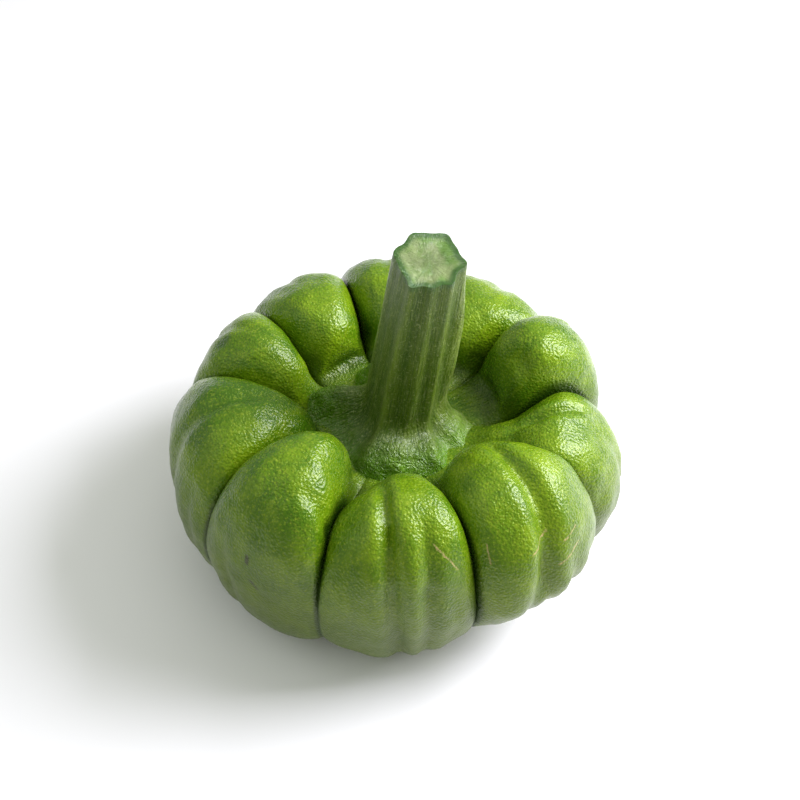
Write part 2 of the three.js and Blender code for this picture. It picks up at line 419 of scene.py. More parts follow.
@dataclass
class Rind:
    """The whole lobed fruit, from the floor of its crown to its blossom scar."""

    radius: float = 83.0
    height: float = 79.0
    crown_shift: tuple[float, float] = (4.5, 0.0)
    columns_per_lobe: int = 12
    rows: int = 48
    smoothing: int = 2
    groove_crease: float = 0.85
    sharpest: float = 75.0
    ripple: float = 0.35
    pebble: float = 0.12
    axis: Vector = field(default_factory=lambda: Vector((0.0, 0.0)))

    def places(self, piece: bpy.types.Object) -> Array:
        """Each vertex's place along the outlines."""
        return painted(piece, "row") * (len(CREST) - 1) / self.rows

    def grooves(self, number: Array, place: Array) -> Array:
        """Azimuths of the grooves before lobes.

        Args:
            number: The lobes' numbers, which may go on past the last lobe into the next turn.
            place: Places along the outlines.

        Returns:
            One azimuth for each place, in degrees.
        """
        turned = 360.0 * (number // len(LOBES))
        return turned + trait("start", number) + trait("twist", number) * (1.0 - ramp(place, 3, 9))

    def crests(self, number: Array, place: Array) -> Array:
        """Points of the lobes' crests.

        Args:
            number: The lobes' numbers.
            place: Places along the outlines.

        Returns:
            A radius and a height for each place, in millimetres.
        """
        size = np.array([self.radius, self.height])
        crest = along(np.array(CREST) * size, place)
        slope = along(np.array(SLOPE + CREST[len(SLOPE) :]) * size, place)
        ball = along(np.array(BALL + CREST[len(BALL) :]) * size, place)
        taper, round_off = trait("taper", number)[:, None], trait("ball", number)[:, None]
        crest += (slope - crest) * taper + (ball - crest) * round_off
        outer = ramp(place, 5, 9.5) * (1.0 - 0.5 * ramp(place, 12.5, 16))
        crest[:, 0] *= 1.0 + (trait("girth", number) - 1.0) * outer
        crest[:, 0] *= 1.0 + (trait("belly", number) - 1.0) * window(place, 10.5, 13, 13.5, 16.5)
        crest[:, 0] += trait("nose", number) * window(place, 1.2, 3, 5, 7.5)
        crest[:, 1] += trait("rise", number) * window(place, 2.5, 6, 9, 13)
        return crest

    def surface(self, place: Array, turns: Array) -> Array:
        """Points of the rind about its own axis, in millimetres.

        Args:
            place: Places along the outlines.
            turns: Angles round the blank, in turns.

        Returns:
            One row for each point.
        """
        position = turns * len(LOBES)
        number = np.minimum(np.floor(position + 1e-6).astype(int), len(LOBES) - 1)
        across = np.sin((position - number - 0.5) * math.pi)
        full = trait("ball", number) * window(place, 1, 3, 6, 9)
        roundness = 2.2 + 0.8 * ramp(place, 4, 9) + 0.3 * full
        lean = trait("lean", number) * window(place, 1, 3, 6, 10)
        offset = across - lean * (1.0 - across**2)
        bulge = np.maximum(1.0 - np.abs(offset) ** roundness, 0.0) ** (0.58 - 0.1 * full)
        groove = along(np.array(GROOVE) * np.array([self.radius, self.height]), place)
        outline = groove + (self.crests(number, place) - groove) * bulge[:, None]
        before, after = self.grooves(number, place), self.grooves(number + 1, place)
        azimuth = np.radians(before + (after - before) * (across + 1.0) / 2.0)
        drift = 1.0 - ramp(place, 4, 10)
        x = outline[:, 0] * np.cos(azimuth) + self.crown_shift[0] * drift
        y = outline[:, 0] * np.sin(azimuth) + self.crown_shift[1] * drift
        return np.stack([x, y, np.maximum(outline[:, 1], 0.0)], axis=1)

    def build(self) -> bpy.types.Object:
        """Pulls a ball into lobes, smooths it, and works the furrows and dents into it.

        Returns:
            The finished rind.
        """
        columns = self.columns_per_lobe * len(LOBES)
        piece = add_blank("rind", columns, self.rows)
        move_vertices(piece, self.surface(self.places(piece), angle_of(piece)))
        column = np.round(angle_of(piece) * columns).astype(int)
        row = painted(piece, "row")
        between_poles = (row > 0.2 * self.rows) & (row < self.rows - 1)
        crease_edges(piece, (column % self.columns_per_lobe == 0) & between_poles, self.groove_crease)
        smooth_out(piece, self.smoothing)
        at = self.whereabouts(piece)
        self.press(piece, at)
        self.tell_skin(piece, at)
        self.stand(piece)
        shade(piece, self.sharpest)
        return piece

    def whereabouts(self, piece: bpy.types.Object) -> Whereabouts:
        """Where each vertex of the smoothed rind lies."""
        position = angle_of(piece) * len(LOBES)
        number = np.minimum(np.floor(position).astype(int), len(LOBES) - 1)
        return Whereabouts(self.places(piece), number, np.sin((position - number - 0.5) * math.pi))

    def press(self, piece: bpy.types.Object, at: Whereabouts) -> None:
        """Presses furrows, dents and ripples into the smoothed rind."""
        points = coordinates(piece)
        depth = np.zeros(len(points))
        for furrow in FURROWS:
            passed = (at.place - furrow.start) / (furrow.end - furrow.start)
            middle = furrow.across + furrow.sweep * passed
            opening = window(at.place, furrow.start, furrow.start + 2.5, furrow.end - 3, furrow.end)
            offset = at.across - middle
            cut = 0.72 * bell(offset, furrow.width) + 0.28 * bell(offset, 0.55 * furrow.width)
            cut -= 0.35 * bell(offset, 3 * furrow.width)
            depth += np.where(at.number == furrow.lobe, furrow.depth * cut * opening, 0.0)
        for dent in DENTS:
            hollow = bell(at.across - dent.across, dent.width) * bell(at.place - dent.place, dent.length)
            depth += np.where(at.number == dent.lobe, dent.depth * hollow, 0.0)
        calm = 1.0 - 0.7 * ramp(np.abs(at.across), 0.8, 1.0)
        depth += self.ripple * calm * (1.8 * lumps(points, 16.0, 3.1) + 0.9 * lumps(points, 6.0, 9.4, 1))
        depth += self.pebble * calm * lumps(points, 2.6, 5.7, 1)
        moved = points - normals(piece) * depth[:, None]
        moved[:, 2] = np.maximum(moved[:, 2], 0.0)
        move_vertices(piece, moved)

    def tell_skin(self, piece: bpy.types.Object, at: Whereabouts) -> None:
        """Paints the numbers that the rind's material reads."""
        groove = np.abs(at.across)
        paint(piece, "groove", groove)
        paint(piece, "place", at.place)
        # Painted light and shade over whole lobes, mixed with their own colour, fading out at the grooves.
        paint(piece, "tone", trait("tone", at.number) * (1 - groove**4))
        # Painted shade where the lobes fold under at the crown's floor and beside the grooves next to it.
        beside = window(at.place, 1.4, 2.2, 3.4, 5) * ramp(groove, 0.6, 0.9)
        tuck_shade = (1 - trait("taper", at.number)) * (1 + trait("ball", at.number)) / 2
        tuck_shade *= np.maximum(bell(at.place - 1.95, 0.6), beside)
        paint(piece, "tuck_shade", 0.65 * np.clip(1.3 * tuck_shade, 0, 1))
        for kind in Blemish:
            strength, aside = self.blemish(kind, piece, at)
            paint(piece, kind.value, strength)
            if kind is Blemish.SCAR:
                paint(piece, "scar_aside", aside)

    def blemish(self, kind: Blemish, piece: bpy.types.Object, at: Whereabouts) -> tuple[Array, Array]:
        """Finds where one kind of mark shows, measuring along the skin.

        Args:
            kind: The kind of mark.
            piece: The rind.
            at: Where its vertices lie.

        Returns:
            How near each vertex is to a mark, from 0 to 1, and how far it is to one side of its line, in
            millimetres.
        """
        points, outwards = coordinates(piece), normals(piece)
        strength, aside = np.zeros(len(points)), np.zeros(len(points))
        deepest = 4.0
        for mark in (m for m in MARKS if m.kind is kind):
            on_lobe = at.number == mark.lobe
            ends = []
            for place, across in (mark.start, mark.end):
                miss = np.hypot(at.place - place, 4 * (at.across - across))
                ends.append(points[np.argmin(np.where(on_lobe, miss, math.inf))])
            line = ends[1] - ends[0]
            share = np.clip(((points - ends[0]) @ line) / (line @ line), 0.0, 1.0)
            gap = points - ends[0] - share[:, None] * line
            depth = np.einsum("ij,ij->i", gap, outwards)
            gap -= depth[:, None] * outwards
            side = np.einsum("ij,ij->i", gap, np.cross(outwards, line / np.linalg.norm(line)))
            near = on_lobe & (np.abs(depth) < deepest)
            here = np.where(near, bell(np.linalg.norm(gap, axis=1), mark.width), 0.0)
            aside = np.where(here > strength, side, aside)
            strength = np.maximum(strength, here)
        return strength, aside

    def stand(self, piece: bpy.types.Object) -> None:
        """Moves the rind to where the CAD fruit stands, and remembers where its axis went."""
        low, high = (Vector(corner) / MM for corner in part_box("fruit"))
        points = coordinates(piece)
        middle = (points.min(axis=0) + points.max(axis=0)) / 2
        self.axis = Vector(((low.x + high.x) / 2 - middle[0], (low.y + high.y) / 2 - middle[1]))
        move_vertices(piece, points + np.array([self.axis.x, self.axis.y, low.z]))

    @property
    def crown(self) -> Vector:
        """Middle of the crown's floor, in millimetres in the row frame."""
        x, y = self.axis.x + self.crown_shift[0], self.axis.y + self.crown_shift[1]
        return Vector((x, y, CREST[0][1] * self.height))


# ---- The stem ---------------------------------------------------------------------------------------


@dataclass(frozen=True)
class Ridge:
    """One ridge of the stem's shaft.

    top and base are its azimuths at the cut and at the crown, in degrees. height is how far it stands out
    at the cut, and swell how much further halfway down.
    """

    top: float
    base: float
    height: float
    swell: float
    width: float = 15.0


@dataclass(frozen=True)
class Toe:
    """One point of the foot's outline.

    azimuth is in degrees and reach is its distance from the foot's middle. top is the height at which it
    leaves the shaft, curve how hollow its back is, tip its end's height, and swell how far it bulges.
    """

    azimuth: float
    reach: float
    top: float
    curve: float
    tip: float = -1.2
    swell: float = 0.0


RIDGES = (
    Ridge(60, 52, 1.3, 0.4),
    Ridge(119, 112, 1.4, 0.4),
    Ridge(165, 166, 1.9, 0.0),
    Ridge(240, 236, 2.2, 0.2, 10.0),
    Ridge(276, 280, 0.7, 0.3, 9.0),
    Ridge(310, 312, 1.8, 0.2, 10.0),
    Ridge(352, 366, 2.4, 2.8, 10.0),
)

TOES = (
    Toe(6, 31, 18, 1.5),
    Toe(28, 32, 11, 2.0),
    Toe(54, 32, 15, 1.6),
    Toe(84, 30, 9, 2.2),
    Toe(118, 33, 25, 1.25, 0.0, 2.0),
    Toe(138, 30, 9, 2.2),
    Toe(162, 38, 18, 1.15, 3.0, 3.0),
    Toe(188, 33, 13, 1.9, -0.5),
    Toe(218, 31, 12, 1.8, -1.2, 0.5),
    Toe(244, 32, 16, 1.4, -3.5, 3.0),
    Toe(266, 31, 15, 1.4, -4.0, 4.6),
    Toe(285, 30.5, 14, 1.4, -4.0, 3.4),
    Toe(304, 31, 15, 1.4, -4.0, 4.2),
    Toe(325, 29, 12, 1.7, -2.5, 0.8),
    Toe(343, 30, 15, 1.6, -1.2, 1.6),
)


@dataclass
class Stem:
    """The cut stalk, whose foot runs into the crown's floor."""

    foot: Vector
    length: float = 78.4
    lean: tuple[float, float] = (10.5, 4.0)
    top_radius: float = 10.4
    base_radius: float = 12.6
    cut_slope: float = 13.0
    cut_dish: float = 0.9
    columns: int = 72
    rows: int = 52
    cut_rows: int = 6
    waist: float = 0.5
    sunk: float = 3.0
    smoothing: int = 2
    rim_crease: float = 0.6
    sharpest: float = 60.0

    def flow(self, row: Array) -> Array:
        """How far rows have flowed down the stem: 0 at the cut's rim, and 1 at the foot's outline."""
        return np.clip((row - self.cut_rows) / (self.rows - self.cut_rows - 2), 0.0, 1.0)

    def ridges(self, azimuth: Array, climb: Array) -> Array:
        """How far the ridges stand out.

        Args:
            azimuth: Azimuths, in degrees.
            climb: Heights as shares of the stem's length.

        Returns:
            One length for each azimuth, in millimetres.
        """
        out = np.zeros(len(azimuth))
        for ridge in RIDGES:
            middle = ridge.base + turn(ridge.top, ridge.base) * climb
            size = ridge.height + ridge.swell * window(climb, 0, 0.4, 0.6, 1)
            out = np.maximum(out, size * bell(turn(azimuth, middle), ridge.width))
        return out

    def shaft(self, azimuth: Array, climb: Array) -> Array:
        """Radius of the shaft at azimuths in degrees and shares of its length."""
        return self.base_radius + (self.top_radius - self.base_radius) * climb + self.ridges(azimuth, climb)

    def outline(self, azimuth: Array, name: str) -> Array:
        """Reads one trait of the toes smoothly round the foot.

        Args:
            azimuth: Azimuths, in degrees.
            name: The trait's name.

        Returns:
            One value for each azimuth.
        """
        toes = (TOES[-1], *TOES, TOES[0])
        places = [toe.azimuth for toe in toes]
        places[0] -= 360.0
        places[-1] += 360.0
        start = np.clip(np.searchsorted(places, azimuth, side="right") - 1, 0, len(places) - 2)
        a, b = np.array(places)[start], np.array(places)[start + 1]
        values = np.array([getattr(toe, name) for toe in toes])
        share = ramp((azimuth - a) / (b - a), 0, 1)
        return values[start] + (values[start + 1] - values[start]) * share

    def surface(self, row: Array, turns: Array) -> Array:
        """Points of the stem about its foot, in millimetres.

        Args:
            row: Rows of the blank, from the middle of the cut down to the middle of the foot.
            turns: Angles round the blank, in turns.

        Returns:
            One row for each point.
        """
        azimuth = (turns * 360.0) % 360.0
        flow = self.flow(row)
        in_foot = flow > self.waist
        share = np.clip((1.0 - flow) / (1.0 - self.waist), 0.0, 1.0)
        traits = ("reach", "top", "curve", "tip", "swell")
        reach, top, curve, tip, swell = (self.outline(azimuth, name) for name in traits)
        low = tip + (top - tip) * share**curve
        high = top + (self.length - top) * np.clip(1.0 - flow / self.waist, 0, 1)
        height = np.where(in_foot, low, high)
        shaft = self.shaft(azimuth, np.clip(height / self.length, 0, 1))
        radius = shaft + np.where(in_foot, (reach - shaft) * (1.0 - share) ** curve, 0.0)
        bulge = swell * window(flow, self.waist + 0.06, 0.76, 0.8, 1.0)
        radius, height = radius + 0.5 * bulge, height + bulge
        inner = np.clip(row / self.cut_rows, 0.0, 1.0)
        on_cut = row < self.cut_rows
        radius = np.where(on_cut, radius * inner, radius)
        height = np.where(on_cut, self.length - self.cut_dish * (1.0 - inner**2), height)
        under = np.clip((row - (self.rows - 2)) / 2.0, 0.0, 1.0)
        radius = radius * (1.0 - under)
        height = height - self.sunk * ramp(under, 0.0, 0.5)
        x, y = radius * np.cos(np.radians(azimuth)), radius * np.sin(np.radians(azimuth))
        climb = np.maximum(height, 0.0) / self.length
        slope = math.tan(math.radians(self.cut_slope)) * ramp(climb, 0.6, 1.0)
        points = (x + self.lean[0] * climb, y + self.lean[1] * climb, height + y * slope)
        return np.stack(points, axis=1)

    def build(self) -> bpy.types.Object:
        """Pulls a ball into the stalk and works its fibres into it.

        Returns:
            The finished stem.
        """
        piece = add_blank("stalk", self.columns, self.rows)
        row = painted(piece, "row")
        move_vertices(piece, self.surface(row, angle_of(piece)))
        crease_edges(piece, row == self.cut_rows, self.rim_crease)
        smooth_out(piece, self.smoothing)
        self.work(piece)
        shade(piece, self.sharpest)
        return piece

    def work(self, piece: bpy.types.Object) -> None:
        """Works fibres and lumps into the smoothed stem, and paints what its skin reads."""
        row, turns = painted(piece, "row"), angle_of(piece)
        flow, azimuth = self.flow(row), turns * 360.0
        side = ramp(row, self.cut_rows - 0.2, self.cut_rows + 0.8)
        across, back = np.cos(turns * 2 * math.pi), np.sin(turns * 2 * math.pi)
        fibres = lumps(np.stack([across * 5.0, back * 5.0, flow * 2.2], axis=1), 1.0, 7.3, 3)
        coarse = lumps(np.stack([across * 2.2, back * 2.2, flow * 2.0], axis=1), 1.0, 2.9, 2)
        points = coordinates(piece)
        foot = window(flow, 0.62, 0.8, 0.93, 1.0)
        depth = side * (0.16 * fibres + 0.24 * coarse * (1 - foot))
        depth += foot * 0.8 * lumps(points, 5.0, 8.8, 1)
        depth += (1 - side) * 0.25 * lumps(points, 3.0, 4.1, 2)
        climb = np.clip(points[:, 2] / self.length, 0, 1)
        tallest = 2.5
        ridge = self.ridges(azimuth, climb) / tallest * side * (1 - ramp(flow, 0.55, 0.75))
        points = points - normals(piece) * depth[:, None]
        move_vertices(piece, points + np.array(self.foot))
        # Sides of the foot: the left one, away from the key light, is painted in shade as hollow, and the
        # right one is painted paler as lit.
        left, right = 198.0, 20.0
        # How far each ridge stands out, which the skin reads to paint highlights on the ridges.
        paint(piece, "ridge", ridge)
        paint(piece, "hollow", ramp(flow, 0.3, 0.7) * bell(turn(azimuth, left), 50))
        paint(piece, "lit", ramp(flow, 0.6, 0.8) * bell(turn(azimuth, right), 32))
        paint(piece, "swollen", self.outline(azimuth % 360.0, "swell") / 4)
        paint(piece, "flow", flow)
        paint(piece, "cut", 1 - ramp(row, self.cut_rows - 0.35, self.cut_rows + 0.35))
        paint(piece, "cut_rim", bell(row - self.cut_rows, 1.1))
        paint(piece, "fibre", fibres)


# ---- Finishes ---------------------------------------------------------------------------------------


@dataclass(frozen=True)
class RindFinish:
    """Colours and gloss of the waxy rind."""

    deep: Colour = (0.045, 0.125, 0.001)
    bright: Colour = (0.17, 0.28, 0.004)
    fleck: Colour = (0.34, 0.43, 0.03)
    shade: Colour = (0.01, 0.032, 0.001)
    # The lower half's colour, painted darker and duller as shade.
    belly: Colour = (0.06, 0.084, 0.004)
    scar: Colour = (0.46, 0.34, 0.15)
    nick: Colour = (0.02, 0.024, 0.008)
    stain: Colour = (0.025, 0.075, 0.008)
    sheen: Colour = (0.85, 1.0, 0.25)
    roughness: float = 0.24
    shine: float = 0.33
    wax: float = 0.34
    wax_roughness: float = 0.22


@dataclass(frozen=True)
class StalkFinish:
    """Colours and gloss of the fibrous stalk and of its moist cut."""

    deep: Colour = (0.036, 0.088, 0.003)
    bright: Colour = (0.14, 0.205, 0.014)
    # Paler green painted as highlight on the ridges and on the foot's side towards the key light.
    ridge: Colour = (0.24, 0.33, 0.06)
    fibre: Colour = (0.32, 0.38, 0.14)
    foot: Colour = (0.1, 0.26, 0.004)
    rim: Colour = (0.025, 0.1, 0.012)
    flesh: Colour = (0.13, 0.27, 0.035)
    pith: Colour = (0.28, 0.36, 0.13)
    sheen: Colour = (0.85, 1.0, 0.4)
    roughness: float = 0.34
    shine: float = 0.4
    wax: float = 0.5
    wax_roughness: float = 0.17


class Recipe:
    """A material that is put together from nodes, step by step."""

    def __init__(self, name: str) -> None:
        """Starts an empty material with its shader and output."""
        self.material = bpy.data.materials.new(name)
        self.material.use_nodes = True
        self.tree = self.material.node_tree
        self.tree.nodes.clear()
        self.shader = self.add("ShaderNodeBsdfPrincipled")
        output = self.add("ShaderNodeOutputMaterial")
        self.tree.links.new(self.shader.outputs["BSDF"], output.inputs["Surface"])
        self.place = self.add("ShaderNodeTexCoord").outputs["Object"]
        self.map = self.add("ShaderNodeUVMap").outputs["UV"]

    def add(self, kind: str, **settings: object) -> bpy.types.Node:
        """Adds a node and sets its properties."""
        node = self.tree.nodes.new(kind)
        for key, value in settings.items():
            setattr(node, key, value)
        return node

    def feed(self, socket: Socket, value: object) -> None:
        """Fills a socket.

        Args:
            socket: The socket.
            value: Another socket to link it to, or a number, vector or colour to set it to.
        """
        if isinstance(value, Socket):
            self.tree.links.new(value, socket)
        elif isinstance(value, tuple):
            socket.default_value = (*value, 1.0) if len(socket.default_value) == 4 else value
        else:
            socket.default_value = value

    def math(self, operation: str, a: object, b: object = 0.0, clamp: bool = False) -> Socket:
        """Reckons with two numbers.

        Args:
            operation: Blender's name of the operation.
            a: The first number or socket.
            b: The second.
            clamp: Whether the answer is kept between 0 and 1.

        Returns:
            The answer.
        """
        node = self.add("ShaderNodeMath", operation=operation, use_clamp=clamp)
        self.feed(node.inputs[0], a)
        self.feed(node.inputs[1], b)
        return node.outputs[0]

    def read(self, name: str) -> Socket:
        """The number painted on the surface under that name."""
        return self.add("ShaderNodeAttribute", attribute_name=name).outputs["Fac"]

    def times(self, a: object, b: object) -> Socket:
        """The product of two numbers."""
        return self.math("MULTIPLY", a, b)

    def noise(self, size: float, detail: float = 2.0, rough: float = 0.55, warp: float = 0.0) -> Socket:
        """Noise whose lumps are about size millimetres wide."""
        return self.noise_on(self.place, 1.0 / (size * MM), detail, rough, warp)

    def grain(self, stretch: float, count: float, detail: float, rough: float) -> Socket:
        """Noise drawn out lengthwise along the piece's own map.

        Args:
            stretch: Its scale lengthwise, as a share of its scale round the piece.
            count: Lumps round the piece.
            detail: Layers of finer lumps.
            rough: How strong those are.

        Returns:
            The noise, from 0 to 1.
        """
        node = self.add("ShaderNodeMapping")
        self.feed(node.inputs["Vector"], self.map)
        node.inputs["Scale"].default_value = (1.0, stretch, 1.0)
        return self.noise_on(node.outputs["Vector"], count, detail, rough)

    def noise_on(
        self, source: Socket, scale: float, detail: float, rough: float, warp: float = 0.0
    ) -> Socket:
        """Noise on any coordinates.

        Args:
            source: The coordinates.
            scale: Lumps to a unit of them.
            detail: Layers of finer lumps.
            rough: How strong those are.
            warp: How far the lumps are curled.

        Returns:
            The noise, from 0 to 1.
        """
        node = self.add("ShaderNodeTexNoise")
        self.feed(node.inputs["Vector"], source)
        settings = {"Scale": scale, "Detail": detail, "Roughness": rough, "Distortion": warp}
        for name, value in settings.items():
            node.inputs[name].default_value = value
        return node.outputs["Fac"]

    def cells(self, size: float, smoothness: float = 0.6) -> Socket:
        """Round cells.

        Args:
            size: A cell's width in millimetres.
            smoothness: How softly the cells meet.

        Returns:
            The distance from the nearest cell's middle.
        """
        node = self.add("ShaderNodeTexVoronoi", feature="SMOOTH_F1")
        self.feed(node.inputs["Vector"], self.place)
        node.inputs["Scale"].default_value = 1.0 / (size * MM)
        node.inputs["Smoothness"].default_value = smoothness
        return node.outputs["Distance"]

    def between(self, value: Socket, low: float, high: float) -> Socket:
        """Tells how far a value has come from low to high.

        Args:
            value: The value.
            low: Where the answer is 0.
            high: Where it is 1, which may be less than low.

        Returns:
            The answer, smooth in between.
        """
        node = self.add("ShaderNodeMapRange", interpolation_type="SMOOTHSTEP")
        self.feed(node.inputs["Value"], value)
        node.inputs["From Min"].default_value = low
        node.inputs["From Max"].default_value = high
        return node.outputs["Result"]

    def spread(self, value: Socket, low: float, high: float) -> Socket:
        """Spreads a value that runs from 0 to 1.

        Args:
            value: The value.
            low: The answer where it is 0.
            high: The answer where it is 1.

        Returns:
            The answer.
        """
        node = self.add("ShaderNodeMapRange")
        self.feed(node.inputs["Value"], value)
        node.inputs["To Min"].default_value = low
        node.inputs["To Max"].default_value = high
        return node.outputs["Result"]

    def mix(self, share: object, a: object, b: object) -> Socket:
        """Mixes two colours.

        Args:
            share: How much of the second is taken.
            a: The first colour.
            b: The second colour.

        Returns:
            The mixed colour.
        """
        node = self.add("ShaderNodeMix", data_type="RGBA", blend_type="MIX")
        factor, first, second = (node.inputs[number] for number in (0, 6, 7))
        self.feed(factor, share)
        self.feed(first, a)
        self.feed(second, b)
        return node.outputs[2]

    def lay(self, colour: object, tint: object, mask: object, strength: object) -> Socket:
        """Lays a tint over a colour, as strongly as the product of mask and strength."""
        return self.mix(self.times(mask, strength), colour, tint)

    def bump(self, steps: list[tuple[Socket, float, float]]) -> Socket:
        """Stacks bumps.

        Args:
            steps: For each bump its height, its strength and its depth in millimetres.

        Returns:
            The bumped normal.
        """
        normal = None
        for height, strength, depth in steps:
            node = self.add("ShaderNodeBump")
            node.inputs["Strength"].default_value = strength
            node.inputs["Distance"].default_value = depth * MM
            self.feed(node.inputs["Height"], height)
            if normal is not None:
                self.feed(node.inputs["Normal"], normal)
            normal = node.outputs["Normal"]
        return normal

    def set(self, **values: object) -> None:
        """Feeds the shader's own sockets, named with underscores for spaces."""
        for name, value in values.items():
            self.feed(self.shader.inputs[name.replace("_", " ")], value)


def rind_material(finish: RindFinish) -> bpy.types.Material:
    """Mixes the waxy, pebbled rind: mottled greens, pale flecks, painted shade in the grooves and in the
    folds by the crown, a lower half painted darker as shade and rougher, and a broken gloss.

    Args:
        finish: Its colours and gloss.

    Returns:
        The material.
    """
    r = Recipe("waxy_rind")
    groove, place = r.read("groove"), r.read("place")
    mottle = r.between(r.noise(14.0, 3.0, 0.55, 0.4), 0.32, 0.68)
    streaks = r.between(r.grain(0.05, 150.0, 3.0, 0.6), 0.3, 0.7)
    share = r.math("ADD", r.times(mottle, 0.6), r.times(streaks, 0.3))
    # Each lobe paler or darker: partly its own colour, partly painted light and shade.
    share = r.math("ADD", share, r.times(r.read("tone"), 0.5), clamp=True)
    colour = r.mix(share, finish.deep, finish.bright)
    fine = r.noise(0.95, 2.0, 0.6)
    colour = r.lay(colour, finish.fleck, r.between(fine, 0.52, 0.7), 0.36)
    colour = r.lay(colour, finish.deep, r.between(fine, 0.47, 0.3), 0.45)
    colour = r.lay(colour, finish.fleck, r.between(r.cells(3.4, 0.2), 0.2, 0.06), 0.25)
    # The lower half is painted darker, as shade where less light reaches, and its gloss is made rougher.
    low = r.between(place, 7.2, 12.0)
    colour = r.lay(colour, finish.belly, low, 0.75)
    # Painted shade: the grooves below the crown and the folds at the lobes' inner ends are painted nearly
    # black-green.
    groove_shade = r.times(r.between(groove, 0.94, 1.0), r.spread(r.between(place, 2.5, 4.0), 0.0, 0.95))
    colour = r.mix(r.math("MAXIMUM", groove_shade, r.read("tuck_shade")), colour, finish.shade)
    ragged = r.math("ADD", place, r.times(r.noise(4.0, 2.0), 0.3))
    colour = r.lay(colour, finish.scar, r.between(ragged, 16.6, 16.75), 0.7)
    waver = r.times(r.math("SUBTRACT", r.noise(3.0, 2.0), 0.5), 1.6)
    aside = r.math("ABSOLUTE", r.math("ADD", r.read("scar_aside"), waver))
    broken = r.spread(r.between(r.noise(1.4, 3.0, 0.7, 1.0), 0.32, 0.6), 0.1, 1.0)
    scar = r.times(r.between(aside, 0.5, 0.12), r.times(r.between(r.read("scar"), 0.12, 0.5), broken))
    colour = r.lay(colour, finish.scar, scar, 0.75)
    colour = r.lay(colour, finish.nick, r.between(r.read("nick"), 0.25, 0.8), 0.9)
    colour = r.lay(colour, finish.stain, r.between(r.read("stain"), 0.2, 0.9), 0.7)
    rough = r.spread(r.noise(3.0, 2.0), finish.roughness - 0.1, finish.roughness + 0.12)
    rough = r.math("ADD", rough, r.times(low, 0.2))
    creases = r.times(r.grain(0.06, 420.0, 2.0, 0.6), r.spread(r.between(place, 3.0, 1.6), 0.15, 1.0))
    pebbles = r.cells(0.95)
    normal = r.bump([(creases, 0.6, 0.6), (r.noise(0.8, 2.0, 0.6), 0.8, 0.36), (pebbles, 0.75, 0.38)])
    wax = r.bump([(r.noise(3.2, 2.0, 0.5), 0.25, 0.3), (creases, 0.5, 0.5), (pebbles, 0.75, 0.3)])
    r.set(Base_Color=colour, Roughness=rough, Normal=normal)
    r.set(Specular_IOR_Level=finish.shine, Specular_Tint=finish.sheen)
    r.set(Coat_Weight=finish.wax, Coat_Roughness=finish.wax_roughness, Coat_Normal=wax)
    r.set(Subsurface_Weight=0.08, Subsurface_Radius=(0.4, 1.0, 0.2), Subsurface_Scale=0.004)
    return r.material


